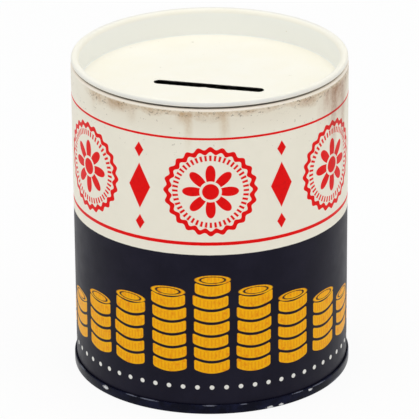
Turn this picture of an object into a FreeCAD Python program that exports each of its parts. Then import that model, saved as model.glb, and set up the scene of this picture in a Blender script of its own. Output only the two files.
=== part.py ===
import FreeCAD, Part
import math
import os

# Tin money box: a round tinplate can with a double-seamed base and a lift-off plug lid with a coin slot.
# Frame: millimetres, +Z up, origin at the middle of the foot, +X along the coin slot.

# Driving dimensions
BODY_RADIUS = 41.8
HEIGHT = 100.0
SHEET = 0.2
HALF_SHEET = SHEET / 2

# Double seam round the foot: five layers of sheet, named from the inside out, with a little air between them
SEAM_AIR = 0.03
LAYER = SHEET + SEAM_AIR
WALL_MID = BODY_RADIUS - HALF_SHEET
CHUCK_WALL_MID = WALL_MID - LAYER
COVER_HOOK_MID = WALL_MID + LAYER
BODY_HOOK_MID = WALL_MID + 2 * LAYER
BEAD_MID = WALL_MID + 3 * LAYER
BEAD_HEIGHT = 3.0
FOOT_BEND = 0.3
HOOK_BEND = LAYER
HOOK_FLOOR = 0.35
BODY_HOOK_LENGTH = 2.1
COVER_HOOK_LENGTH = 2.2

# Base panel, sunk up inside the foot, with one pressed stiffening ring
BASE_SINK = 3.5
BASE_BEND = 0.6
RING_INNER = 29.0
RING_OUTER = 34.0
RING_SLOPE = 1.0
RING_RISE = 0.6

# Rolled edges: the lid's rim stands over the body's curl, with a thin dark gap between
CURL_BEND = 0.7
CURL_TAIL = 1.1
RIM_INNER_BEND = 1.3
RIM_OUTER_BEND = 0.85
RIM_LOW_BEND = 0.7
RIM_GAP = 0.5
RIM_DEPTH = 1.75
RIM_MID = BODY_RADIUS - SHEET
RIM_TOP_MID = HEIGHT - HALF_SHEET
RIM_LOW_MID = HEIGHT - RIM_DEPTH + HALF_SHEET
CURL_TOP_MID = HEIGHT - RIM_DEPTH - RIM_GAP - HALF_SHEET
CURL_LOW_MID = CURL_TOP_MID - 2 * CURL_BEND - HALF_SHEET

# Plug of the lid in the mouth
MOUTH_RADIUS = 39.6
PLUG_CLEARANCE = 0.1
PLUG_MID = MOUTH_RADIUS - PLUG_CLEARANCE - HALF_SHEET
LID_DEPTH = 8.5
LID_BEND = 0.4

# Coin slot, punched a little off the lid's middle
SLOT_LENGTH = 34.0
SLOT_WIDTH = 3.5
SLOT_CENTRE = FreeCAD.Vector(1.0, -5.4, 0)

# Lock seam down the back of the print: the sheet's two edges, hooked together and pressed flat, four layers
# The print faces a little to the right of -Y, because the lid stands turned against it
PRINT_TURN = 14.2
LOCK_AZIMUTH = 90.0 + PRINT_TURN
LOCK_HALF_WIDTH = 2.2
LOCK_SLIT = 0.15
LOCK_AIR = 0.05
LOCK_LAYER = SHEET + LOCK_AIR
LOCK_BOTTOM = 5.0
LOCK_TOP = 95.0

ORIGIN = FreeCAD.Vector(0, 0, 0)
Z_AXIS = FreeCAD.Vector(0, 0, 1)
SHORTEST_EDGE = 1e-6


def direction(a, b):
    """Unit vector from a to b in the (radius, height) plane."""
    length = math.hypot(b[0] - a[0], b[1] - a[1])
    return ((b[0] - a[0]) / length, (b[1] - a[1]) / length)


def moved(point, way, distance):
    return (point[0] + way[0] * distance, point[1] + way[1] * distance)


def left_of(way):
    return (-way[1], way[0])


def in_space(point):
    return FreeCAD.Vector(point[0], 0, point[1])


def line(a, b):
    """A straight edge as a list, empty where two bends meet without one."""
    if math.hypot(b[0] - a[0], b[1] - a[1]) < SHORTEST_EDGE:
        return []
    return [Part.LineSegment(in_space(a), in_space(b)).toShape()]


def sheet_face(midline, offset):
    """One face of a bent sheet: the mid-line moved sideways. Gives its edges and its two end points."""
    way = direction(midline[0], midline[1])
    first = here = moved(midline[0], left_of(way), offset)
    edges = []
    for corner, after in zip(midline[1:-1], midline[2:]):
        bend = corner[2]
        way_out = direction(corner, after)
        turn = math.atan2(way[0] * way_out[1] - way[1] * way_out[0], way[0] * way_out[0] + way[1] * way_out[1])
        hand = math.copysign(1, turn)
        bend_start = moved(corner, way, -bend * math.tan(abs(turn) / 2))
        centre = moved(bend_start, left_of(way), hand * bend)
        from_centre = [moved((0, 0), left_of(w), -hand) for w in (way, way_out)]
        halfway = direction((0, 0), moved(from_centre[0], from_centre[1], 1))
        radius = bend - hand * offset
        start, middle, end = (moved(centre, w, radius) for w in (from_centre[0], halfway, from_centre[1]))
        edges += line(here, start)
        edges.append(Part.Arc(in_space(start), in_space(middle), in_space(end)).toShape())
        here, way = end, way_out
    last = moved(midline[-1], left_of(way), offset)
    return edges + line(here, last), first, last


def spun_sheet(midline):
    """A round sheet piece: its mid-line's (radius, height, bend radius) corners, thickened and spun about Z."""
    left, left_first, left_last = sheet_face(midline, HALF_SHEET)
    right, right_first, right_last = sheet_face(midline, -HALF_SHEET)
    edges = left + right + line(left_first, right_first) + line(left_last, right_last)
    outline = Part.Wire(Part.__sortEdges__(edges))
    return Part.Face(outline).revolve(ORIGIN, Z_AXIS, 360)


def lock_layers(outer_layer, inner_layer, start, end):
    """A stretch of the lock seam: layers count inwards from the wall, places run along it from the middle."""
    outer = BODY_RADIUS - outer_layer * LOCK_LAYER
    inner = BODY_RADIUS - inner_layer * LOCK_LAYER - SHEET
    height = LOCK_TOP - LOCK_BOTTOM
    foot = FreeCAD.Vector(0, 0, LOCK_BOTTOM)
    span = math.degrees((end - start) / BODY_RADIUS)
    wedge = Part.makeCylinder(outer, height, foot, Z_AXIS, span)
    stretch = wedge.cut(Part.makeCylinder(inner, height, foot))
    stretch.rotate(ORIGIN, Z_AXIS, LOCK_AZIMUTH + math.degrees(start / BODY_RADIUS))
    return stretch


def with_lock_seam(wall):
    """Slits the wall down the back and hooks its two edges together on the inside."""
    edge = LOCK_HALF_WIDTH
    far_edge = edge + LOCK_SLIT
    slit = lock_layers(0, 0, edge, far_edge)
    first_hook = [
        lock_layers(0, 2, edge - SHEET, edge),
        lock_layers(2, 2, 2 * SHEET - edge, edge),
    ]
    second_hook = [
        lock_layers(0, 3, far_edge, far_edge + SHEET),
        lock_layers(3, 3, -edge, far_edge + SHEET),
        lock_layers(1, 3, -edge, SHEET - edge),
        lock_layers(1, 1, -edge, edge - 2 * SHEET),
    ]
    return wall.cut(slit).fuse(first_hook + second_hook).removeSplitter()


def body_wall():
    """The can's wall, from the hook in the foot's seam up to the curl round the mouth."""
    curl_mid = MOUTH_RADIUS + HALF_SHEET
    wall = spun_sheet(
        [
            (BODY_HOOK_MID, HOOK_FLOOR + BODY_HOOK_LENGTH),
            (BODY_HOOK_MID, HOOK_FLOOR, HOOK_BEND),
            (WALL_MID, HOOK_FLOOR, HOOK_BEND),
            (WALL_MID, CURL_TOP_MID, CURL_BEND),
            (curl_mid, CURL_TOP_MID, CURL_BEND),
            (curl_mid, CURL_LOW_MID, CURL_BEND),
            (curl_mid + CURL_TAIL, CURL_LOW_MID),
        ]
    )
    return with_lock_seam(wall)


def base_end():
    """The sunk base, from its middle out to the bead that wraps the wall's hook."""
    bead_top_mid = BEAD_HEIGHT - HALF_SHEET
    return spun_sheet(
        [
            (0, BASE_SINK),
            (RING_INNER, BASE_SINK, BASE_BEND),
            (RING_INNER + RING_SLOPE, BASE_SINK + RING_RISE, BASE_BEND),
            (RING_OUTER - RING_SLOPE, BASE_SINK + RING_RISE, BASE_BEND),
            (RING_OUTER, BASE_SINK, BASE_BEND),
            (CHUCK_WALL_MID, BASE_SINK, BASE_BEND),
            (CHUCK_WALL_MID, HALF_SHEET, FOOT_BEND),
            (BEAD_MID, HALF_SHEET, FOOT_BEND),
            (BEAD_MID, bead_top_mid, HOOK_BEND),
            (COVER_HOOK_MID, bead_top_mid, HOOK_BEND),
            (COVER_HOOK_MID, bead_top_mid - COVER_HOOK_LENGTH),
        ]
    )


def coin_slot(panel_mid):
    """The round-ended punch for the slot."""
    half_run = (SLOT_LENGTH - SLOT_WIDTH) / 2
    radius = SLOT_WIDTH / 2
    low = panel_mid - SHEET
    depth = 2 * SHEET
    punch = Part.makeBox(2 * half_run, SLOT_WIDTH, depth, FreeCAD.Vector(-half_run, -radius, low))
    for x in (-half_run, half_run):
        punch = punch.fuse(Part.makeCylinder(radius, depth, FreeCAD.Vector(x, 0, low)))
    punch.translate(SLOT_CENTRE)
    return punch


def lid():
    """The plug lid, from the middle of its sunk panel out to the rolled rim."""
    panel_mid = HEIGHT - LID_DEPTH - HALF_SHEET
    pan = spun_sheet(
        [
            (0, panel_mid),
            (PLUG_MID, panel_mid, LID_BEND),
            (PLUG_MID, RIM_TOP_MID, RIM_INNER_BEND),
            (RIM_MID, RIM_TOP_MID, RIM_OUTER_BEND),
            (RIM_MID, RIM_LOW_MID, RIM_LOW_BEND),
            (RIM_MID - CURL_TAIL, RIM_LOW_MID),
        ]
    )
    return pan.cut(coin_slot(panel_mid))


def main():
    os.makedirs("parts", exist_ok=True)
    for piece in (body_wall, base_end, lid):
        shape = piece()
        print(f"{piece.__name__}: {len(shape.Solids)} solid, valid {shape.isValid()}, {shape.Volume:.0f} mm3")
        shape.Solids[0].exportStep(f"parts/{piece.__name__}.step")


main()
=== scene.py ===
import cmath
import math

import bmesh
import bpy
import numpy as np
from mathutils import Matrix


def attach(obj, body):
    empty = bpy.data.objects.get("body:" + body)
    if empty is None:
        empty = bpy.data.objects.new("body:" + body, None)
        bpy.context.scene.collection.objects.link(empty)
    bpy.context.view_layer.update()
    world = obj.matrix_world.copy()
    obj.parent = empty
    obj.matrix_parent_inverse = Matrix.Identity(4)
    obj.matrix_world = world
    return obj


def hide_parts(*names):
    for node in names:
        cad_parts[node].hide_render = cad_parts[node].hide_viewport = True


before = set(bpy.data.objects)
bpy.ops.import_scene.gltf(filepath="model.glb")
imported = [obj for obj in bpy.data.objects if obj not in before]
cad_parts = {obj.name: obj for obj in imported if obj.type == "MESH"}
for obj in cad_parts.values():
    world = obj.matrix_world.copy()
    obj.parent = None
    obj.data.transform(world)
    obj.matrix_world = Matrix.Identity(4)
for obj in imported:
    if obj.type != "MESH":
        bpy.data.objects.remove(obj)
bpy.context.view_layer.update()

# Tin money box: printed can, seamed base and plug lid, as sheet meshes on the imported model's mid-lines.
# Sizes are in millimetres, turned into metres where meshes, lights and the camera are made.
MM = 0.001

# Driving dimensions of the sheet work
BODY_RADIUS = 41.8
HEIGHT = 100.0
SHEET = 0.2
HALF_SHEET = SHEET / 2

# Double seam round the foot, named from the inside out
SEAM_AIR = 0.03
LAYER = SHEET + SEAM_AIR
WALL_MID = BODY_RADIUS - HALF_SHEET
CHUCK_WALL_MID = WALL_MID - LAYER
COVER_HOOK_MID = WALL_MID + LAYER
BODY_HOOK_MID = WALL_MID + 2 * LAYER
BEAD_MID = WALL_MID + 3 * LAYER
BEAD_HEIGHT = 3.0
BEAD_TOP_MID = BEAD_HEIGHT - HALF_SHEET
FOOT_BEND = 0.3
HOOK_BEND = LAYER
HOOK_FLOOR = 0.35
BODY_HOOK_LENGTH = 2.1
COVER_HOOK_LENGTH = 2.2

# Base panel with its pressed ring
BASE_SINK = 3.5
BASE_BEND = 0.6
RING_INNER = 29.0
RING_OUTER = 34.0
RING_SLOPE = 1.0
RING_RISE = 0.6

# Rolled edges of the body and the lid
CURL_BEND = 0.7
CURL_TAIL = 1.1
RIM_INNER_BEND = 1.3
RIM_OUTER_BEND = 0.85
RIM_LOW_BEND = 0.7
RIM_GAP = 0.5
RIM_DEPTH = 1.75
RIM_MID = BODY_RADIUS - SHEET
RIM_TOP_MID = HEIGHT - HALF_SHEET
RIM_LOW_MID = HEIGHT - RIM_DEPTH + HALF_SHEET
BODY_TOP = HEIGHT - RIM_DEPTH - RIM_GAP
CURL_TOP_MID = BODY_TOP - HALF_SHEET
CURL_LOW_MID = CURL_TOP_MID - 2 * CURL_BEND - HALF_SHEET

# Plug of the lid and its coin slot
MOUTH_RADIUS = 39.6
PLUG_CLEARANCE = 0.1
PLUG_MID = MOUTH_RADIUS - PLUG_CLEARANCE - HALF_SHEET
LID_DEPTH = 8.5
LID_BEND = 0.4
PANEL_MID = HEIGHT - LID_DEPTH - HALF_SHEET
SLOT_LENGTH = 34.0
SLOT_WIDTH = 3.5
SLOT_CENTRE = (1.0, -5.4)

# The print faces this many degrees to the right of -Y, and the camera stands in front of it
PRINT_TURN = 14.2

# Lock seam down the back of the print: a slit outside, and a band of folded layers inside
LOCK_AZIMUTH = math.radians(90.0 + PRINT_TURN)
LOCK_HALF_WIDTH = 2.2
LOCK_SLIT = 0.15
LOCK_GROOVE = 0.13
LOCK_BAND = 0.75
LOCK_EASE = 0.1
LOCK_BOTTOM = 5.0
LOCK_TOP = 95.0
LOCK_STOPS = (LOCK_BOTTOM - LOCK_EASE, LOCK_BOTTOM, LOCK_TOP, LOCK_TOP + LOCK_EASE)

# How finely the sheets are cut into faces
COLUMNS = 360
ARC_STEP = math.radians(15.0)
RUN_STEP = 2.5
SHARP_ANGLE = math.radians(35.0)
SAME_POINT = 1e-5

# Keeps step counts, divisions and signs clear of rounding
TINY = 1e-6

# Where a piece's faces lie in its bake map, in shares of the map's side
MAP_MARGIN = 0.004
OUTSIDE_STRIP = (MAP_MARGIN, 0.7)
INSIDE_STRIP = (1 - MAP_MARGIN, 0.71)
LEFT_DISC = (0.25, 0.5)
RIGHT_DISC = (0.75, 0.5)
DISC_RADIUS = 0.245

# Camera, fitted to the tin's outlines in the photograph
CAMERA_DISTANCE = 1009.7
CAMERA_HEIGHT = 472.5
CAMERA_TILT = math.radians(22.759)
CAMERA_YAW = math.radians(0.0197)
CAMERA_ROLL = math.radians(-0.421)
LENS = 307.56
SENSOR = 36.0


# Sheet work


def unit(way):
    return way / abs(way)


def run_to(points, normals, target, way):
    """Adds evenly spaced points along a straight run, up to and with its end."""
    start = points[-1]
    steps = math.ceil(abs(target - start) / RUN_STEP - TINY)
    for step in range(1, steps + 1):
        points.append(start + (target - start) * step / steps)
        normals.append(1j * way)


def bent(corners):
    """A sheet's mid-line through (radius, height, bend radius) corners: its points and left-hand normals.

    Both are complex numbers, radius + height * 1j."""
    places = [complex(radius, height) for radius, height, *_ in corners]
    way = unit(places[1] - places[0])
    points = [places[0]]
    normals = [1j * way]
    for place, after, (_, _, bend) in zip(places[1:-1], places[2:], corners[1:-1]):
        way_out = unit(after - place)
        turn = cmath.phase(way_out / way)
        bend_start = place - way * bend * math.tan(abs(turn) / 2)
        run_to(points, normals, bend_start, way)
        centre = bend_start + 1j * way * math.copysign(bend, turn)
        steps = math.ceil(abs(turn) / ARC_STEP - TINY)
        for step in range(1, steps + 1):
            swing = cmath.exp(1j * turn * step / steps)
            points.append(centre + (bend_start - centre) * swing)
            normals.append(1j * way * swing)
        way = way_out
    run_to(points, normals, places[-1], way)
    return np.array(points), np.array(normals)


def sheet_faces(corners):
    """The left and right faces of a bent sheet, each a row of radius + height * 1j."""
    points, normals = bent(corners)
    return points + normals * HALF_SHEET, points - normals * HALF_SHEET


def spin(outline, angles, push=0.0):
    """Turns an outline about Z: a grid of points, one row for each outline point."""
    radius = outline.real[:, None] + push
    height = np.repeat(outline.imag[:, None], len(angles), axis=1)
    return np.stack([radius * np.cos(angles), radius * np.sin(angles), height], axis=-1)


def run_lengths(outline):
    """Distance along an outline from its first point, for each point."""
    return np.concatenate([[0.0], np.cumsum(np.abs(np.diff(outline)))])


def even_angles():
    return np.arange(COLUMNS) * 2 * math.pi / COLUMNS


def strip_maps(lengths, low, high, columns):
    """Bake-map rows for a face unrolled flat: round the tin along u, and from low to high along v."""
    u = np.linspace(MAP_MARGIN, 1 - MAP_MARGIN, columns + 1)
    v = low + (high - low) * lengths / lengths.max()
    return [np.column_stack([u, np.full(columns + 1, height)]) for height in v]


def disc_maps(grid, reach, centre):
    """Bake-map rows for a dished face spread flat; reach is each row's spread-out radius over its own."""
    spread = grid[:, :, :2] * reach[:, None, None]
    scale = DISC_RADIUS / np.hypot(spread[..., 0], spread[..., 1]).max()
    spread = np.concatenate([spread, spread[:, :1]], axis=1)
    return list(spread * scale + np.array(centre))


def spread_radius(outline):
    """How far out each point of a dished outline lands when it is spread flat, over its own radius."""
    lengths = outline.real[0] + run_lengths(outline)
    return lengths / np.maximum(outline.real, TINY)


def skin_faces(rows, columns, maps, edges, closed):
    """The four-sided faces between neighbouring rows, and the bake-map places of their corners."""
    faces = []
    places = []
    for row in range(rows if closed else rows - 1):
        below = (row + 1) % rows
        here = maps[row]
        there = 2 * here - maps[row - 1] if row in edges else maps[below]
        for column in range(columns):
            beside = (column + 1) % columns
            corners = [(row, column), (below, column), (below, beside), (row, beside)]
            faces.append([r * columns + c for r, c in corners])
            places += [here[column], there[column], there[column + 1], here[column + 1]]
    return faces, places


def clean(mesh):
    """Joins points that coincide, and turns the faces outwards."""
    work = bmesh.new()
    work.from_mesh(mesh)
    bmesh.ops.remove_doubles(work, verts=work.verts, dist=SAME_POINT * MM)
    bmesh.ops.recalc_face_normals(work, faces=work.faces)
    work.to_mesh(mesh)
    work.free()


def skin(name, grid, maps, finish_rows, edges, closed):
    """A smooth mesh over rows of points that each go once round, closed in itself where closed is true.

    maps gives each row's places in the bake map, with one more column than the grid; finish_rows gives
    the material index of the strip that starts at each row; edges are the rows where a strip over the
    sheet's cut edge starts."""
    rows, columns = grid.shape[:2]
    faces, places = skin_faces(rows, columns, maps, edges, closed)
    finishes = np.repeat(finish_rows, columns)[: len(faces)]
    mesh = bpy.data.meshes.new(name)
    mesh.from_pydata((grid.reshape(-1, 3) * MM).tolist(), [], faces)
    layer = mesh.uv_layers.new(name="OFBake")
    layer.data.foreach_set("uv", np.array(places, np.float32).ravel())
    mesh.polygons.foreach_set("material_index", finishes.astype(np.int32))
    clean(mesh)
    mesh.shade_smooth()
    mesh.set_sharp_from_angle(angle=SHARP_ANGLE)
    piece = bpy.data.objects.new(name, mesh)
    bpy.context.scene.collection.objects.link(piece)
    return piece


# Body wall


def seam_place(angles):
    """Distance round the wall from the lock seam's middle."""
    turn = (angles - LOCK_AZIMUTH + math.pi) % (2 * math.pi) - math.pi
    return turn * BODY_RADIUS


def seam_steps():
    """Where the lock seam's two surfaces step, as places round the wall: outside and inside."""
    slit_end = LOCK_HALF_WIDTH + LOCK_SLIT
    band_end = slit_end + SHEET
    outside = [LOCK_HALF_WIDTH - LOCK_EASE, LOCK_HALF_WIDTH, slit_end, slit_end + LOCK_EASE]
    inside = [-LOCK_HALF_WIDTH - LOCK_EASE, -LOCK_HALF_WIDTH, band_end, band_end + LOCK_EASE]
    return outside, inside


def body_angles():
    """Columns round the body, with extra ones at the lock seam's steps."""
    outside, inside = seam_steps()
    steps = np.array(outside + inside)
    angles = even_angles()
    clear = np.abs(seam_place(angles)[:, None] - steps).min(axis=1) > 2 * LOCK_EASE
    return np.sort(np.concatenate([angles[clear], LOCK_AZIMUTH + steps / BODY_RADIUS]))


def lock_push(heights, angles, steps, depth):
    """Inward push of one face at the lock seam."""
    along = np.interp(seam_place(angles), steps, [0, 1, 1, 0])
    up = np.interp(heights, LOCK_STOPS, [0, 1, 1, 0])
    return -depth * up[:, None] * along[None, :]


def body_wall():
    """The printed wall, from its hook in the foot's seam to the curl round the mouth."""
    curl_mid = MOUTH_RADIUS + HALF_SHEET
    inside, outside = sheet_faces(
        [
            (BODY_HOOK_MID, HOOK_FLOOR + BODY_HOOK_LENGTH),
            (BODY_HOOK_MID, HOOK_FLOOR, HOOK_BEND),
            (WALL_MID, HOOK_FLOOR, HOOK_BEND),
            *[(WALL_MID, height, 0.0) for height in LOCK_STOPS],
            (WALL_MID, CURL_TOP_MID, CURL_BEND),
            (curl_mid, CURL_TOP_MID, CURL_BEND),
            (curl_mid, CURL_LOW_MID, CURL_BEND),
            (curl_mid + CURL_TAIL, CURL_LOW_MID),
        ]
    )
    angles = body_angles()
    outside_steps, inside_steps = seam_steps()
    on_wall = np.isclose(outside.real, BODY_RADIUS)[:, None]
    groove = lock_push(outside.imag, angles, outside_steps, LOCK_GROOVE) * on_wall
    band = lock_push(inside.imag, angles, inside_steps, LOCK_BAND) * on_wall
    grid = np.concatenate([spin(outside, angles, groove), spin(inside[::-1], angles, band[::-1])])
    columns = len(angles)
    maps = strip_maps(run_lengths(outside), *OUTSIDE_STRIP, columns)
    maps += strip_maps(run_lengths(inside), *INSIDE_STRIP, columns)
    finish_rows = [0] * (len(outside) - 1) + [1] * (len(inside) + 1)
    edges = (len(outside) - 1, len(grid) - 1)
    return skin("printed_wall", grid, maps, finish_rows, edges, closed=True)


# Base


def base_end():
    """The sunk base, from its middle out to the bead that wraps the wall's hook."""
    inside, outside = sheet_faces(
        [
            (0.0, BASE_SINK),
            (RING_INNER, BASE_SINK, BASE_BEND),
            (RING_INNER + RING_SLOPE, BASE_SINK + RING_RISE, BASE_BEND),
            (RING_OUTER - RING_SLOPE, BASE_SINK + RING_RISE, BASE_BEND),
            (RING_OUTER, BASE_SINK, BASE_BEND),
            (CHUCK_WALL_MID, BASE_SINK, BASE_BEND),
            (CHUCK_WALL_MID, HALF_SHEET, FOOT_BEND),
            (BEAD_MID, HALF_SHEET, FOOT_BEND),
            (BEAD_MID, BEAD_TOP_MID, HOOK_BEND),
            (COVER_HOOK_MID, BEAD_TOP_MID, HOOK_BEND),
            (COVER_HOOK_MID, BEAD_TOP_MID - COVER_HOOK_LENGTH),
        ]
    )
    angles = even_angles()
    under = spin(outside, angles)
    upper = spin(inside[::-1], angles)
    maps = disc_maps(under, spread_radius(outside), LEFT_DISC)
    maps += disc_maps(upper, spread_radius(inside)[::-1], RIGHT_DISC)
    finish_rows = [0] * (len(outside) - 1) + [1] * (len(inside) + 1)
    edges = (len(outside) - 1,)
    return skin("base", np.concatenate([under, upper]), maps, finish_rows, edges, closed=False)


# Lid

# Rings of points over the panel, closer together near the slot, out to a circle
PANEL_EDGE = 36.0
PANEL_RINGS = 14
RING_CROWDING = 1.5

# The slot's punched edge: unevenness, roll downwards, and the angle that each round end takes up
SLOT_UNEVEN = 0.03
SLOT_ROLL = 0.35
SLOT_ROLL_DROP = 0.07
SLOT_ROLL_ROWS = 4
SLOT_END_ANGLE = math.radians(25.0)

# Bends of the slot's front edge: place along the slot, half run and depth
SLOT_FRONT_BENDS = ((-0.8, 1.6, -0.34), (5.0, 3.4, 0.2))


def slot_bends(x):
    """How far the slot's front edge bows out, at places along the slot."""
    bow = np.zeros_like(x)
    for place, half_run, depth in SLOT_FRONT_BENDS:
        bow += depth * np.clip(1 - ((x - place) / half_run) ** 2, 0, None) ** 2
    return bow


def slot_unevenness(angles):
    """A slight waviness of the punched edge, the same on each run."""
    return SLOT_UNEVEN * (np.sin(23 * angles + 1.0) * np.sin(7 * angles) + 0.6 * np.sin(41 * angles))


def slot_outline(angles):
    """The slot's round-ended edge, with a point for each angle."""
    half_run = (SLOT_LENGTH - SLOT_WIDTH) / 2
    radius = SLOT_WIDTH / 2
    turn = (angles + math.pi) % (2 * math.pi) - math.pi
    lean = np.abs(turn)
    ends = [lean < SLOT_END_ANGLE, lean > math.pi - SLOT_END_ANGLE]
    right_cap = lean / SLOT_END_ANGLE * math.pi / 2
    left_cap = math.pi - (math.pi - lean) / SLOT_END_ANGLE * math.pi / 2
    run = half_run * (1 - 2 * (lean - SLOT_END_ANGLE) / (math.pi - 2 * SLOT_END_ANGLE))
    x = np.select(ends, [half_run + radius * np.cos(right_cap), radius * np.cos(left_cap) - half_run], run)
    y = np.select(ends, [radius * np.sin(right_cap), radius * np.sin(left_cap)], radius)
    on_sides = y > 0.9 * radius
    bow = np.where(turn < 0, slot_bends(x), 0.0)
    y = (y + (slot_unevenness(angles) + bow) * on_sides) * np.sign(turn + TINY)
    return np.column_stack([x + SLOT_CENTRE[0], y + SLOT_CENTRE[1]])


def panel_rows(angles, height):
    """Rows over the panel from the slot's edge, which is rolled down a little, out to a circle."""
    slot = slot_outline(angles)
    circle = PANEL_EDGE * np.column_stack([np.cos(angles), np.sin(angles)])
    way = circle - slot
    way = way / np.hypot(way[:, 0], way[:, 1])[:, None]
    rows = []
    for distance in np.linspace(0.0, SLOT_ROLL, SLOT_ROLL_ROWS):
        drop = SLOT_ROLL_DROP * (1 - distance / SLOT_ROLL) ** 2
        rows.append(np.column_stack([slot + way * distance, np.full(len(angles), height - drop)]))
    first = slot + way * SLOT_ROLL
    for ring in range(1, PANEL_RINGS):
        share = (ring / PANEL_RINGS) ** RING_CROWDING
        rows.append(np.column_stack([first + (circle - first) * share, np.full(len(angles), height)]))
    return np.array(rows)


def lid():
    """The plug lid, from its slot out over the panel and up the plug to the rolled rim."""
    top, under = sheet_faces(
        [
            (PANEL_EDGE, PANEL_MID),
            (PLUG_MID, PANEL_MID, LID_BEND),
            (PLUG_MID, RIM_TOP_MID, RIM_INNER_BEND),
            (RIM_MID, RIM_TOP_MID, RIM_OUTER_BEND),
            (RIM_MID, RIM_LOW_MID, RIM_LOW_BEND),
            (RIM_MID - CURL_TAIL, RIM_LOW_MID),
        ]
    )
    angles = even_angles()
    panel_top = panel_rows(angles, PANEL_MID + HALF_SHEET)
    panel_under = panel_rows(angles, PANEL_MID - HALF_SHEET)
    flat = np.ones(len(panel_top))
    upper = np.concatenate([panel_top, spin(top, angles)])
    lower = np.concatenate([panel_under, spin(under, angles)])
    maps = disc_maps(upper, np.concatenate([flat, spread_radius(top)]), LEFT_DISC)
    maps += disc_maps(lower, np.concatenate([flat, spread_radius(under)]), RIGHT_DISC)[::-1]
    finish_rows = [0] * (len(upper) - 1) + [1] * (len(lower) + 1)
    edges = (len(upper) - 1, len(upper) + len(lower) - 1)
    return skin("lid_pan", np.concatenate([upper, lower[::-1]]), maps, finish_rows, edges, closed=True)


# Material building

# How far each step of a seed moves the noise
SEED_STEP = (17.3, 5.1, 31.7)

# A Mix node's colour sockets come after those for numbers and vectors
MIX_BELOW = 6
MIX_ABOVE = 7
MIX_RESULT = 2


class Field:
    """A number that varies over a surface. Arithmetic on it adds Math nodes to its material."""

    def __init__(self, tree, socket):
        self.tree = tree
        self.socket = socket

    def math(self, operation, *others, clamp=False):
        node = self.tree.nodes.new("ShaderNodeMath")
        node.operation = operation
        node.use_clamp = clamp
        for socket, value in zip(node.inputs, (self, *others)):
            if isinstance(value, Field):
                self.tree.links.new(value.socket, socket)
            else:
                socket.default_value = value
        return Field(self.tree, node.outputs[0])

    def __add__(self, other):
        return self.math("ADD", other)

    def __sub__(self, other):
        return self.math("SUBTRACT", other)

    def __rsub__(self, other):
        return self.math("MULTIPLY_ADD", -1.0, other)

    def __mul__(self, other):
        return self.math("MULTIPLY", other)

    def __truediv__(self, other):
        return self.math("DIVIDE", other)

    def __neg__(self):
        return self.math("MULTIPLY", -1.0)

    def __abs__(self):
        return self.math("ABSOLUTE")

    def wrapped(self, period):
        """Distance from the nearest multiple of the period, with its sign."""
        return self.math("WRAP", period / 2, -period / 2)

    def ramp(self, low, high):
        """0 at low, 1 at high, smooth between."""
        node = self.tree.nodes.new("ShaderNodeMapRange")
        node.interpolation_type = "SMOOTHSTEP"
        self.tree.links.new(self.socket, node.inputs["Value"])
        node.inputs["From Min"].default_value = low
        node.inputs["From Max"].default_value = high
        return Field(self.tree, node.outputs["Result"])

    def inside(self, blur):
        """1 where this signed distance is below zero, 0 above, blurred over the given width."""
        return self.math("MULTIPLY_ADD", -1.0 / blur, 0.5, clamp=True)


def joined(first, *more):
    """The signed distance to the nearest of several shapes."""
    for other in more:
        first = first.math("MINIMUM", other)
    return first


def common(first, *more):
    """The signed distance to what several shapes have in common."""
    for other in more:
        first = first.math("MAXIMUM", other)
    return first


def length_of(across, up):
    return (across * across + up * up).math("SQRT")


def front_and_back(angle):
    """1 at the print's front and back, 0 at its sides."""
    return (angle * 2).math("COSINE") * 0.5 + 0.5


def linear(*srgb):
    """A colour written as 0 to 255 display values, as linear light."""
    shares = [value / 255 for value in srgb]
    return [s / 12.92 if s <= 0.04045 else ((s + 0.055) / 1.055) ** 2.4 for s in shares] + [1.0]


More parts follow.
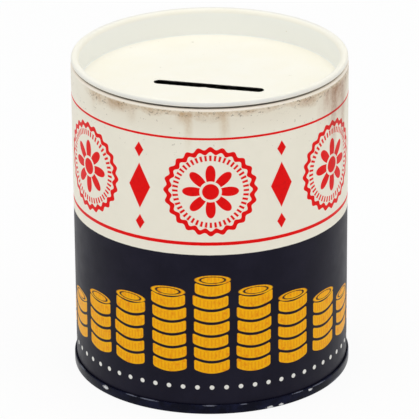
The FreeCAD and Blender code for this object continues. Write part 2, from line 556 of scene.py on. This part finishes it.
class Finish:
    """A material being built. Its places are in millimetres, turned so that the print faces -Y."""

    def __init__(self, name):
        self.material = bpy.data.materials.new(name)
        self.material.use_nodes = True
        self.tree = self.material.node_tree
        self.shader = self.tree.nodes["Principled BSDF"]
        coordinates = self.tree.nodes.new("ShaderNodeTexCoord")
        turned = self.tree.nodes.new("ShaderNodeMapping")
        turned.inputs["Rotation"].default_value = (0, 0, -math.radians(PRINT_TURN))
        turned.inputs["Scale"].default_value = (1 / MM, 1 / MM, 1 / MM)
        self.tree.links.new(coordinates.outputs["Object"], turned.inputs["Vector"])
        self.place = turned.outputs["Vector"]
        split = self.tree.nodes.new("ShaderNodeSeparateXYZ")
        self.tree.links.new(self.place, split.inputs[0])
        self.x, self.y, self.z = (Field(self.tree, socket) for socket in split.outputs)

    def angle(self):
        """Angle round the tin from the print's front, positive to the right."""
        return self.x.math("ARCTAN2", -self.y)

    def radius(self):
        return length_of(self.x, self.y)

    def noise(self, size, detail=2.0, roughness=0.5, stretch=(1, 1, 1), seed=0.0):
        """Cloudy noise around 0.5, with patches about this many millimetres across."""
        moved = self.tree.nodes.new("ShaderNodeMapping")
        moved.inputs["Location"].default_value = [seed * step for step in SEED_STEP]
        moved.inputs["Scale"].default_value = [1 / (size * share) for share in stretch]
        self.tree.links.new(self.place, moved.inputs["Vector"])
        node = self.tree.nodes.new("ShaderNodeTexNoise")
        node.inputs["Scale"].default_value = 1.0
        node.inputs["Detail"].default_value = detail
        node.inputs["Roughness"].default_value = roughness
        self.tree.links.new(moved.outputs["Vector"], node.inputs["Vector"])
        return Field(self.tree, node.outputs["Fac"])

    def chance(self, first, second, seed):
        """A random number from 0 to 1 for each different pair of fields."""
        pair = self.tree.nodes.new("ShaderNodeCombineXYZ")
        self.tree.links.new(first.socket, pair.inputs["X"])
        self.tree.links.new(second.socket, pair.inputs["Y"])
        pair.inputs["Z"].default_value = seed
        node = self.tree.nodes.new("ShaderNodeTexWhiteNoise")
        self.tree.links.new(pair.outputs["Vector"], node.inputs["Vector"])
        return Field(self.tree, node.outputs["Value"])

    def mix(self, mask, below, above, blend="MIX"):
        """Colour above where the mask is 1, below where it is 0; with MULTIPLY, above tints below."""
        node = self.tree.nodes.new("ShaderNodeMix")
        node.data_type = "RGBA"
        node.blend_type = blend
        self.tree.links.new(mask.socket, node.inputs["Factor"])
        for colour, socket in ((below, node.inputs[MIX_BELOW]), (above, node.inputs[MIX_ABOVE])):
            if isinstance(colour, list):
                socket.default_value = colour
            else:
                self.tree.links.new(colour, socket)
        return node.outputs[MIX_RESULT]

    def colour(self, socket):
        self.tree.links.new(socket, self.shader.inputs["Base Color"])

    def fixed(self, name, value):
        self.shader.inputs[name].default_value = value

    def roughness(self, size, least, more):
        """Roughness in patches of this size, from the least value up to as much more."""
        field = self.noise(size=size, detail=3.0) * more + least
        self.tree.links.new(field.socket, self.shader.inputs["Roughness"])

    def bump(self, size, height):
        """Slight unevenness of the surface, with bumps of this size and up to this height."""
        node = self.tree.nodes.new("ShaderNodeBump")
        node.inputs["Distance"].default_value = height * MM
        self.tree.links.new(self.noise(size=size).socket, node.inputs["Height"])
        self.tree.links.new(node.outputs["Normal"], self.shader.inputs["Normal"])


# Print on the wall

CREAM = linear(249, 242, 225)
CREAM_SHADE = linear(244, 237, 220)
NAVY = linear(18, 16, 32)
NAVY_LIGHT = linear(29, 27, 43)
RED = linear(238, 4, 5)
RED_DEEP = linear(214, 2, 5)
OCHRE = linear(254, 183, 8)
OCHRE_DEEP = linear(234, 128, 8)
WHITE_INK = linear(240, 238, 232)

ROUND_ABOUT = 2 * math.pi * BODY_RADIUS
SPLIT_HEIGHT = 51.8
EDGE_BLUR = 0.14
INK_UNEVEN = 0.16
MOTIF_UNEVEN_SHARE = 0.6

# How far the grounds and inks go towards their second shade
GROUND_MOTTLE = 0.6
RED_PATCHES = 0.5
GOLD_PATCHES = 0.75
GOLD_REEDING = 0.5

# Rosettes on the cream: a scalloped ring, a circle of short reeds, and a flower round a boss
MEDALLIONS = 6
MEDALLION_HEIGHT = 72.0
SCALLOPS = 24
SCALLOP_DEPTH = 0.45
SCALLOP_RADIUS = 12.9
SCALLOP_HALF_WIDTH = 0.8
REEDS = 48
REED_RADIUS = 10.6
REED_HALF_LENGTH = 0.85
REED_EDGE = 0.2
PETALS = 8
PETAL_REACH = 8.4
PETAL_FULLNESS = 0.55
PETAL_EDGE = 0.6
PETAL_START = 3.3
BOSS_RADIUS = 2.5

# Diamonds between the rosettes, as half width and half height, and rules as height and half width
DIAMOND = (3.6, 7.2)
SMALL_DIAMOND = (1.5, 2.4)
SMALL_DIAMOND_OFFSETS = (11.5, -11.5)
DIAMOND_EDGE = 0.7
RULES = ((88.6, 0.35), (55.4, 0.55))

# Stacks of coins on the navy, each coin with a reeded edge and the top one with a ring on its face
COIN_STACKS = 20
TALLEST_STACK = 7
STACK_FOOT = 12.8
COIN_PITCH = 4.2
COIN_HALF_WIDTH = 5.3
COIN_HALF_HEIGHT = 1.65
COIN_CORNER = 0.6
COIN_DIP = 1.3
COIN_SLIP = 0.9
COIN_SEED = 3.0
COIN_FACE_HALF_HEIGHT = 1.5
COIN_FACE_RISE = 1.55
COIN_RING = 0.7
COIN_RING_HALF_WIDTH = 0.07
REEDING_PITCH = 1.1
REEDING_HALF_HEIGHT = 1.1
REEDING_NARROWING = 0.08
REEDING_BLUR = 0.2

# Row of dots near the foot
DOTS = 60
DOT_HEIGHT = 8.6
DOT_RADIUS = 0.7

# The print stops just short of the lock seam's slit
SLIT_PLACE = ROUND_ABOUT / 2 + LOCK_HALF_WIDTH + LOCK_SLIT / 2
SLIT_MARGIN = 0.7
SLIT_HALF_WIDTH = 0.14
SLIT_DIRT = 0.85


def medallion(across, up):
    """Signed distance to a scalloped, reeded rosette about the place where both inputs are zero."""
    reach = length_of(across, up)
    turn = across.math("ARCTAN2", up)
    scallop = (turn * SCALLOPS).math("COSINE") * SCALLOP_DEPTH
    ring = abs(reach - scallop - SCALLOP_RADIUS) - SCALLOP_HALF_WIDTH
    reeds = common(abs(reach - REED_RADIUS) - REED_HALF_LENGTH, (turn * REEDS).math("COSINE") * -REED_EDGE)
    petal_reach = abs((turn * (PETALS / 2)).math("COSINE")).math("POWER", PETAL_FULLNESS) * PETAL_REACH
    petals = common((reach - petal_reach) * PETAL_EDGE, PETAL_START - reach)
    return joined(ring, reeds, petals, reach - BOSS_RADIUS)


def diamond(across, up, half_width, half_height):
    """Signed distance to an upright diamond."""
    return (abs(across) / half_width + abs(up) / half_height - 1.0) * (DIAMOND_EDGE * half_width)


def upper_print(u, v):
    """Signed distance to the red print on the cream: rosettes with diamonds between, and two rules."""
    pitch = ROUND_ABOUT / MEDALLIONS
    up = v - MEDALLION_HEIGHT
    beside = (u + pitch / 2).wrapped(pitch)
    shapes = [medallion(u.wrapped(pitch), up), diamond(beside, up, *DIAMOND)]
    for offset in SMALL_DIAMOND_OFFSETS:
        shapes.append(diamond(beside, up - offset, *SMALL_DIAMOND))
    for height, half_width in RULES:
        shapes.append(abs(v - height) - half_width)
    return joined(*shapes)


def coins_in_stack(column):
    """How many coins a stack has: the most at the print's front and back, the fewest at its sides."""
    half_turn = COIN_STACKS / 2
    from_tallest = abs((column + half_turn / 2).math("WRAP", half_turn, 0.0) - half_turn / 2)
    return TALLEST_STACK - from_tallest


def coin_slip(finish, column, level):
    """How far a coin lies out of line with its stack."""
    return (finish.chance(column, level, COIN_SEED) - 0.5) * COIN_SLIP


def coin_stacks(finish, u, v):
    """Signed distances to the stacks of coins on the navy, and to the reeding on the coins' edges."""
    pitch = ROUND_ABOUT / COIN_STACKS
    half_turn = COIN_STACKS / 2
    column = (u / pitch).math("ROUND").math("WRAP", half_turn - 0.5, -half_turn - 0.5)
    coins = coins_in_stack(column)
    across = u.wrapped(pitch)
    flat = v - across * across * (COIN_DIP / COIN_HALF_WIDTH**2) - STACK_FOOT
    level = (flat / COIN_PITCH).math("FLOOR")
    up = flat - (level + 0.5) * COIN_PITCH
    slipped = across - coin_slip(finish, column, level)
    edge = length_of(
        (abs(slipped) - (COIN_HALF_WIDTH - COIN_CORNER)).math("MAXIMUM", 0.0),
        (abs(up) - (COIN_HALF_HEIGHT - COIN_CORNER)).math("MAXIMUM", 0.0),
    )
    sides = common(edge - COIN_CORNER, flat - coins * COIN_PITCH, -flat)
    top_across = across - coin_slip(finish, column, coins - 1.0)
    top_up = v - STACK_FOOT - coins * COIN_PITCH - COIN_FACE_RISE
    face = length_of(top_across / COIN_HALF_WIDTH, top_up / COIN_FACE_HALF_HEIGHT)
    ring = COIN_RING_HALF_WIDTH - abs(face - COIN_RING)
    top = common(face - 1.0, ring) * COIN_FACE_HALF_HEIGHT
    grooves = (u * (2 * math.pi / REEDING_PITCH)).math("COSINE") * -REED_EDGE + REEDING_NARROWING
    return joined(sides, top), common(grooves, abs(up) - REEDING_HALF_HEIGHT)


def ground(finish, uneven):
    """Mottled cream above, mottled navy below."""
    mottle = finish.noise(size=11.0, detail=4.0, roughness=0.65).ramp(0.3, 0.7) * GROUND_MOTTLE
    cream = finish.mix(mottle, CREAM, CREAM_SHADE)
    navy = finish.mix(mottle, NAVY, NAVY_LIGHT)
    return finish.mix((finish.z - SPLIT_HEIGHT + uneven).inside(EDGE_BLUR), cream, navy)


def inked(finish, colour, u, uneven):
    """The inks over the ground colour, a little patchy, and the lock seam's dark slit."""
    v = finish.z
    from_slit = abs((u - SLIT_PLACE).wrapped(ROUND_ABOUT))
    plain = SLIT_MARGIN - from_slit + uneven
    patches = finish.noise(size=1.3, detail=3.0, roughness=0.65, seed=2.0).ramp(0.48, 0.72)
    stacks, reeding = coin_stacks(finish, u, v)
    dots = length_of(u.wrapped(ROUND_ABOUT / DOTS), v - DOT_HEIGHT) - DOT_RADIUS
    red = finish.mix(patches * RED_PATCHES, RED, RED_DEEP)
    deep = (patches * GOLD_PATCHES).math("MAXIMUM", reeding.inside(REEDING_BLUR) * GOLD_REEDING)
    gold = finish.mix(deep, OCHRE, OCHRE_DEEP)
    for shape, ink in (
        (upper_print(u, v) + uneven * MOTIF_UNEVEN_SHARE, red),
        (stacks + uneven * MOTIF_UNEVEN_SHARE, gold),
        (dots, WHITE_INK),
    ):
        colour = finish.mix(common(shape, plain).inside(EDGE_BLUR), colour, ink)
    slit = common(from_slit - SLIT_HALF_WIDTH, LOCK_BOTTOM - v, v - LOCK_TOP)
    return finish.mix(slit.inside(EDGE_BLUR) * SLIT_DIRT, colour, GAP_DIRT_AND_SHADE)


# Dirt on the wall, and painted shade in the gap under the rim

GRIME_TINT = linear(216, 197, 179)
STAIN_TINT = linear(207, 182, 171)
RUST_TINT = linear(222, 200, 176)
SPECK = linear(136, 120, 102)
HEM = linear(253, 242, 228)
# Dark brown: dirt in the lock seam's slit, and dirt with painted shade in the gap under the lid's rim.
GAP_DIRT_AND_SHADE = linear(104, 88, 74)

# Distances down from the wall's top edge
HEM_DEPTH = 0.55
GRIME_LEAST_REACH = 1.6
GRIME_MORE_REACH = 3.0
HAZE_REACH = 11.0
SPECK_REACH = 24.0
CRUMB_REACH = 5.0

# How strongly the kinds of dirt show, and the dirt with painted shade in the gap under the rim
HAZE_STRENGTH = 0.22
SPECK_STRENGTH = 0.55
CRUMB_STRENGTH = 0.8
GAP_DIRT_AND_SHADE_LEAST = 0.35
GAP_DIRT_AND_SHADE_MORE = 0.44

# One clean stretch of the grime band: its angle from the print's front, and where grime sets in beside it
CLEAN_ANGLE = math.radians(-74.0)
CLEAN_SPAN = (0.1, 0.42)

# Runs of dirt: degrees from the print's front, half width, length, strength and tint
STREAKS = (
    (-55.0, 2.0, 9.0, 0.3, GRIME_TINT),
    (-41.0, 5.5, 5.5, 0.9, GRIME_TINT),
    (-33.0, 3.0, 9.0, 0.5, GRIME_TINT),
    (-11.0, 3.4, 6.0, 1.1, RUST_TINT),
    (-8.8, 1.8, 16.0, 0.62, RUST_TINT),
    (5.5, 2.2, 14.0, 0.7, RUST_TINT),
    (44.0, 5.0, 4.5, 0.8, STAIN_TINT),
    (61.0, 3.4, 46.0, 0.64, STAIN_TINT),
    (64.5, 13.0, 18.5, 1.05, STAIN_TINT),
    (71.5, 3.0, 46.0, 0.7, STAIN_TINT),
    (112.0, 4.0, 30.0, 0.9, STAIN_TINT),
    (146.0, 2.0, 14.0, 0.8, RUST_TINT),
    (205.0, 3.0, 44.0, 0.8, STAIN_TINT),
    (236.0, 5.0, 7.0, 0.9, GRIME_TINT),
    (262.0, 1.8, 20.0, 0.8, RUST_TINT),
)


def top_grime(finish, angle, from_top):
    """How strongly dirt tints the print below the hem: a patchy band of uneven reach over a faint haze."""
    spread = finish.noise(size=9.0, seed=4.0).ramp(0.3, 0.7)
    reach = spread * GRIME_MORE_REACH + GRIME_LEAST_REACH
    below_hem = from_top.ramp(HEM_DEPTH, HEM_DEPTH + 0.4)
    fade = (1.0 - from_top / reach).math("MAXIMUM", 0.0) * below_hem
    blotch = finish.noise(size=3.2, detail=5.0, roughness=0.7, seed=5.0).ramp(0.25, 0.7) * 0.7 + 0.3
    grain = finish.noise(size=0.7, detail=3.0, roughness=0.7, seed=6.0).ramp(0.3, 0.7) * 0.7 + 0.6
    haze = from_top.ramp(HAZE_REACH, 1.0) * HAZE_STRENGTH
    soiled = abs(angle - CLEAN_ANGLE).ramp(*CLEAN_SPAN)
    return (fade.math("POWER", 0.7) * blotch * grain + haze) * soiled


def streak(finish, grain, angle, from_top, centre, half_width, run, strength):
    """How strongly one run of dirt tints the print, at an angle in degrees."""
    place = (angle - math.radians(centre)).wrapped(2 * math.pi) * BODY_RADIUS
    sway = (finish.noise(size=3.0, stretch=(1, 1, 4), seed=centre) - 0.5) * half_width
    across = abs(place + sway).ramp(half_width, 0.0)
    along = from_top.ramp(run, 0.1 * run) * from_top.ramp(HEM_DEPTH, HEM_DEPTH + 0.5 + 0.06 * run)
    return across * along * grain * strength


def soiled_and_gap_shaded_print(finish, colour, angle):
    """Grime, runs and specks over the print, then the clean hem, and dirt with painted shade in the gap
    under the rim.
    """
    from_top = BODY_TOP - finish.z
    grime = top_grime(finish, angle, from_top)
    colour = finish.mix(grime, colour, GRIME_TINT, "MULTIPLY")
    grain = finish.noise(size=1.1, detail=4.0, roughness=0.7, seed=8.0).ramp(0.2, 0.75) * 0.6 + 0.5
    for *place, tint in STREAKS:
        colour = finish.mix(streak(finish, grain, angle, from_top, *place), colour, tint, "MULTIPLY")
    specks = finish.noise(size=0.9, detail=3.0, roughness=0.6, stretch=(1.6, 1.6, 1), seed=7.0)
    specks = specks.ramp(0.65, 0.73) * from_top.ramp(SPECK_REACH, 1.0)
    colour = finish.mix(specks * SPECK_STRENGTH, colour, SPECK)
    crumbs = finish.noise(size=0.8, detail=3.0, roughness=0.65, stretch=(1.4, 1.4, 1), seed=11.0)
    crumbs = crumbs.ramp(0.56, 0.66) * from_top.ramp(CRUMB_REACH, 1.2) * grime.ramp(0.1, 0.38)
    colour = finish.mix(crumbs * CRUMB_STRENGTH, colour, SPECK)
    colour = finish.mix(from_top.ramp(HEM_DEPTH + 0.1, HEM_DEPTH - 0.15), colour, HEM)
    # Dirt and painted shade in the gap under the lid's rim, heavier at the print's front and back.
    in_gap = finish.radius().ramp(BODY_RADIUS - 0.45, BODY_RADIUS - 0.9)
    gap_dirt_and_shade = front_and_back(angle) * GAP_DIRT_AND_SHADE_MORE + GAP_DIRT_AND_SHADE_LEAST
    return finish.mix(in_gap * gap_dirt_and_shade, colour, GAP_DIRT_AND_SHADE)


def printed_tin():
    """Cream over navy with the print on both, dirt and stains below the mouth, painted shade in the gap
    under the rim, under a satin varnish.
    """
    finish = Finish("printed_tin")
    angle = finish.angle()
    uneven = (finish.noise(size=1.6) - 0.5) * INK_UNEVEN
    colour = ground(finish, uneven)
    colour = inked(finish, colour, angle * BODY_RADIUS, uneven)
    finish.colour(soiled_and_gap_shaded_print(finish, colour, angle))
    finish.fixed("Specular IOR Level", 0.1)
    finish.roughness(size=4.0, least=0.34, more=0.16)
    finish.bump(size=0.9, height=0.012)
    return finish.material


# Enamel of the lid

IVORY = linear(251, 247, 235)
IVORY_SHADE = linear(250, 245, 230)
# A cool near-white, painted on the plug's inner wall as the cooler shade in its recess.
PLUG_SHADE_TINT = linear(247, 247, 242)
# Grey painted shade on the rolled rim's outer edge, and over its top at the back.
RIM_SHADE = linear(232, 230, 225)
MARK = linear(222, 217, 200)
PANEL_SPECK = (-5.2, 32.6)
PANEL_SPECK_RADIUS = 0.4
MARK_STRENGTH = 0.6

# The rim's top takes grey painted shade at the back: where this sets in, as angles from the print's front,
# and how much
RIM_BACK_SHADE_SPAN = (1.6, 2.4)
RIM_BACK_SHADE_STRENGTH = 0.65


def plug_wall(finish, radius):
    """1 on the plug's inner wall, which takes a cool painted shade tint."""
    across = radius.ramp(PLUG_MID - 0.5, PLUG_MID - 0.2) * radius.ramp(PLUG_MID + 0.8, PLUG_MID + 0.4)
    return across * finish.z.ramp(HEIGHT - 0.6, HEIGHT - 1.8)


def rim_edge_shade(finish, radius):
    """How much grey painted shade the rolled rim takes along its outer edge, unevenly and most at the front
    and back.
    """
    edge = radius.ramp(RIM_MID - 0.4, RIM_MID) * finish.z.ramp(HEIGHT - 1.6, HEIGHT - 1.2)
    patchiness = finish.noise(size=6.0, detail=3.0, seed=3.0).ramp(0.2, 0.6) * 0.4 + 0.6
    front_and_back_weight = front_and_back(finish.angle()).math("POWER", 2.0) * 0.7 + 0.3
    return edge * patchiness * front_and_back_weight


def rim_back_shade(finish, radius):
    """1 over the rim's top at the back, where it takes grey painted shade."""
    top = radius.ramp(RIM_MID - 1.7, RIM_MID - 1.2) * finish.z.ramp(HEIGHT - 1.2, HEIGHT - 0.6)
    return abs(finish.angle()).ramp(*RIM_BACK_SHADE_SPAN) * top


def lid_enamel():
    """Satin ivory enamel, with painted cool shade inside the plug and a little grey painted shade along the
    rolled rim.
    """
    finish = Finish("lid_enamel")
    radius = finish.radius()
    mottle = finish.noise(size=14.0, detail=3.0, roughness=0.6).ramp(0.3, 0.7)
    marks = finish.noise(size=1.6, seed=9.0).ramp(0.73, 0.79)
    speck = length_of(finish.x - PANEL_SPECK[0], finish.y - PANEL_SPECK[1]) - PANEL_SPECK_RADIUS
    colour = finish.mix(mottle, IVORY, IVORY_SHADE)
    colour = finish.mix(plug_wall(finish, radius), colour, PLUG_SHADE_TINT)
    # Grey painted shade along the rim's outer edge, then over the rim's top at the back.
    colour = finish.mix(rim_edge_shade(finish, radius), colour, RIM_SHADE)
    colour = finish.mix(rim_back_shade(finish, radius) * RIM_BACK_SHADE_STRENGTH, colour, RIM_SHADE)
    colour = finish.mix(marks * MARK_STRENGTH, colour, MARK)
    finish.colour(finish.mix(speck.inside(PANEL_SPECK_RADIUS), colour, MARK))
    finish.fixed("Specular IOR Level", 0.25)
    finish.roughness(size=5.0, least=0.32, more=0.12)
    finish.bump(size=1.2, height=0.01)
    return finish.material


# Enamel of the base

ENAMEL = linear(4, 5, 23)
ENAMEL_LIGHT = linear(19, 22, 48)
# Pale blue-grey for worn marks on the bead that also serve as painted highlights.
RUBBED_AND_HIGHLIGHT = linear(112, 114, 130)
CHIP = linear(222, 221, 222)
MARK_RAGGEDNESS = 1.6
RUB_AND_HIGHLIGHT_BLUR = 0.6
RUB_AND_HIGHLIGHT_STRENGTH = 0.8
CHIP_BLUR = 0.5

# Marks along the bead: degrees from the print's front, height, half width and half height
CHIPS = (
    (-49.6, 2.15, 1.2, 0.5),
    (24.3, 0.45, 1.1, 0.35),
    (29.4, 0.6, 0.7, 0.35),
    (44.6, 2.2, 0.8, 0.35),
    (98.0, 1.6, 0.6, 0.3),
    (131.0, 2.4, 1.2, 0.3),
    (177.0, 0.8, 0.8, 0.35),
    (214.0, 2.1, 0.7, 0.35),
    (268.0, 1.0, 1.0, 0.35),
)
# These worn marks also serve as painted highlights, mostly along the bead's upper edge.
RUBS_AND_HIGHLIGHTS = (
    (-35.0, 2.85, 1.8, 0.16),
    (-27.0, 2.85, 2.7, 0.16),
    (-0.9, 2.85, 1.6, 0.2),
    (13.0, 2.8, 1.0, 0.14),
    (38.0, 2.85, 1.8, 0.14),
    (50.0, 2.7, 2.6, 0.18),
    (62.0, 0.45, 3.6, 0.22),
    (84.0, 2.85, 3.0, 0.16),
    (118.0, 2.8, 1.6, 0.18),
    (160.0, 2.85, 3.4, 0.16),
    (198.0, 2.8, 2.0, 0.16),
    (243.0, 2.85, 2.8, 0.18),
    (290.0, 2.85, 2.2, 0.16),
)


def bead_marks(finish, marks):
    """Signed distance to ragged oval marks, in shares of a mark."""
    angle = finish.angle()
    ragged = (finish.noise(size=0.5) - 0.5) * MARK_RAGGEDNESS
    ovals = []
    for centre, height, half_width, half_height in marks:
        across = (angle - math.radians(centre)).wrapped(2 * math.pi) * BODY_RADIUS
        ovals.append(length_of(across / half_width, (finish.z - height) / half_height) - 1.0)
    return joined(*ovals) + ragged


def base_enamel():
    """Glossy navy enamel, worn and with painted highlights along the bead's upper edge, and chipped here
    and there.
    """
    finish = Finish("base_enamel")
    mottle = finish.noise(size=4.5, detail=3.0, roughness=0.6).ramp(0.4, 0.7)
    on_bead = finish.radius().ramp(BEAD_MID - 0.25, BEAD_MID - 0.1)
    colour = finish.mix(mottle, ENAMEL, ENAMEL_LIGHT)
    rubs_and_highlights = bead_marks(finish, RUBS_AND_HIGHLIGHTS).inside(RUB_AND_HIGHLIGHT_BLUR) * on_bead
    chips = bead_marks(finish, CHIPS).inside(CHIP_BLUR) * on_bead
    # Worn marks that also paint highlights on the bead.
    colour = finish.mix(rubs_and_highlights * RUB_AND_HIGHLIGHT_STRENGTH, colour, RUBBED_AND_HIGHLIGHT)
    finish.colour(finish.mix(chips, colour, CHIP))
    finish.fixed("Specular IOR Level", 0.08)
    finish.roughness(size=2.0, least=0.2, more=0.15)
    finish.bump(size=0.8, height=0.02)
    return finish.material


# Bare tinplate

TIN = linear(212, 210, 204)
TIN_LIGHT = linear(228, 226, 221)


def bare_tin():
    """Bright, lightly streaked tinplate, as on the inside of the can and under the lid."""
    finish = Finish("bare_tin")
    spangle = finish.noise(size=5.0, detail=4.0, roughness=0.6, stretch=(1, 1, 3)).ramp(0.3, 0.7)
    finish.colour(finish.mix(spangle, TIN, TIN_LIGHT))
    finish.fixed("Metallic", 0.9)
    finish.roughness(size=2.5, least=0.3, more=0.2)
    finish.bump(size=0.6, height=0.006)
    return finish.material


# Pieces


def dressed(piece, *materials):
    """A piece with its materials, in the order of the indexes that its faces hold."""
    for material in materials:
        piece.data.materials.append(material)
    return piece


def build_pieces():
    tin = bare_tin()
    wall = dressed(body_wall(), printed_tin(), tin)
    base = dressed(base_end(), base_enamel(), tin)
    cover = dressed(lid(), lid_enamel(), tin)
    for piece, body, node, slot in (
        (wall, "can", "body_wall", "printed_tin"),
        (base, "can", "base_end", "base_enamel"),
        (cover, "lid", "lid", "lid_enamel"),
    ):
        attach(piece, body)
        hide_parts(node)


# Studio

FLOOR_SIDE = 6.0
FLOOR_GREY = 0.9
FLOOR_GLOW = 0.92
WORLD_LIGHT = 0.66
COOL = (0.955, 0.985, 1.0)
WARM = (1.0, 0.985, 0.955)

# Softboxes: name, degrees right of the print's front, elevation, distance and side in metres, watts, colour
SOFTBOXES = (
    ("top_softbox", 0, 88, 1.0, 0.8, 3.45, WARM),
    ("left_softbox", -60, 40, 1.4, 0.9, 1.64, COOL),
    ("right_softbox", 60, 40, 1.4, 0.9, 1.64, WARM),
)


def floor_white():
    """White that glows where it is seen, so the background is even, and keeps some of the tin's shadow."""
    material = bpy.data.materials.new("floor_white")
    material.use_nodes = True
    nodes = material.node_tree.nodes
    links = material.node_tree.links
    shader = nodes["Principled BSDF"]
    shader.inputs["Base Color"].default_value = (FLOOR_GREY, FLOOR_GREY, FLOOR_GREY, 1)
    shader.inputs["Roughness"].default_value = 0.8
    shader.inputs["Specular IOR Level"].default_value = 0.1
    glow = nodes.new("ShaderNodeEmission")
    glow.inputs["Strength"].default_value = 1.0
    path = nodes.new("ShaderNodeLightPath")
    seen = Field(material.node_tree, path.outputs["Is Camera Ray"])
    for ray in ("Is Glossy Ray", "Is Transmission Ray"):
        seen = seen.math("MAXIMUM", Field(material.node_tree, path.outputs[ray]))
    blend = nodes.new("ShaderNodeMixShader")
    links.new((seen * FLOOR_GLOW).socket, blend.inputs[0])
    links.new(shader.outputs[0], blend.inputs[1])
    links.new(glow.outputs[0], blend.inputs[2])
    links.new(blend.outputs[0], nodes["Material Output"].inputs["Surface"])
    return material


def studio_floor():
    mesh = bpy.data.meshes.new("floor")
    half = FLOOR_SIDE / 2
    corners = [(-half, -half, 0), (half, -half, 0), (half, half, 0), (-half, half, 0)]
    mesh.from_pydata(corners, [], [(0, 1, 2, 3)])
    mesh.materials.append(floor_white())
    floor = bpy.data.objects.new("floor", mesh)
    bpy.context.scene.collection.objects.link(floor)


def studio_world():
    world = bpy.data.worlds.new("studio")
    world.use_nodes = True
    background = world.node_tree.nodes["Background"]
    background.inputs["Color"].default_value = (*COOL, 1)
    background.inputs["Strength"].default_value = WORLD_LIGHT
    bpy.context.scene.world = world


def softbox(name, side_turn, elevation, distance, side, power, colour):
    """A square area light that faces the middle of the tin."""
    lamp = bpy.data.lights.new(name, "AREA")
    lamp.size = side
    lamp.energy = power
    lamp.color = colour
    light = bpy.data.objects.new(name, lamp)
    middle = Matrix.Translation((0, 0, HEIGHT / 2 * MM))
    turn = Matrix.Rotation(math.radians(PRINT_TURN + side_turn), 4, "Z")
    tilt = Matrix.Rotation(math.radians(90 - elevation), 4, "X")
    light.matrix_world = middle @ turn @ tilt @ Matrix.Translation((0, 0, distance))
    bpy.context.scene.collection.objects.link(light)


def camera():
    data = bpy.data.cameras.new("camera")
    data.lens = LENS
    data.sensor_width = SENSOR
    data.clip_start = 0.01
    data.clip_end = 20
    eye = bpy.data.objects.new("camera", data)
    turn = Matrix.Rotation(math.radians(PRINT_TURN), 4, "Z")
    place = Matrix.Translation((0, -CAMERA_DISTANCE * MM, CAMERA_HEIGHT * MM))
    tilt = Matrix.Rotation(math.pi / 2 - CAMERA_TILT, 4, "X")
    yaw = Matrix.Rotation(CAMERA_YAW, 4, "Y")
    roll = Matrix.Rotation(CAMERA_ROLL, 4, "Z")
    eye.matrix_world = turn @ place @ tilt @ yaw @ roll
    bpy.context.scene.collection.objects.link(eye)
    bpy.context.scene.camera = eye


def main():
    build_pieces()
    studio_floor()
    studio_world()
    for box in SOFTBOXES:
        softbox(*box)
    camera()
    bpy.context.scene.view_settings.view_transform = "Standard"


main()
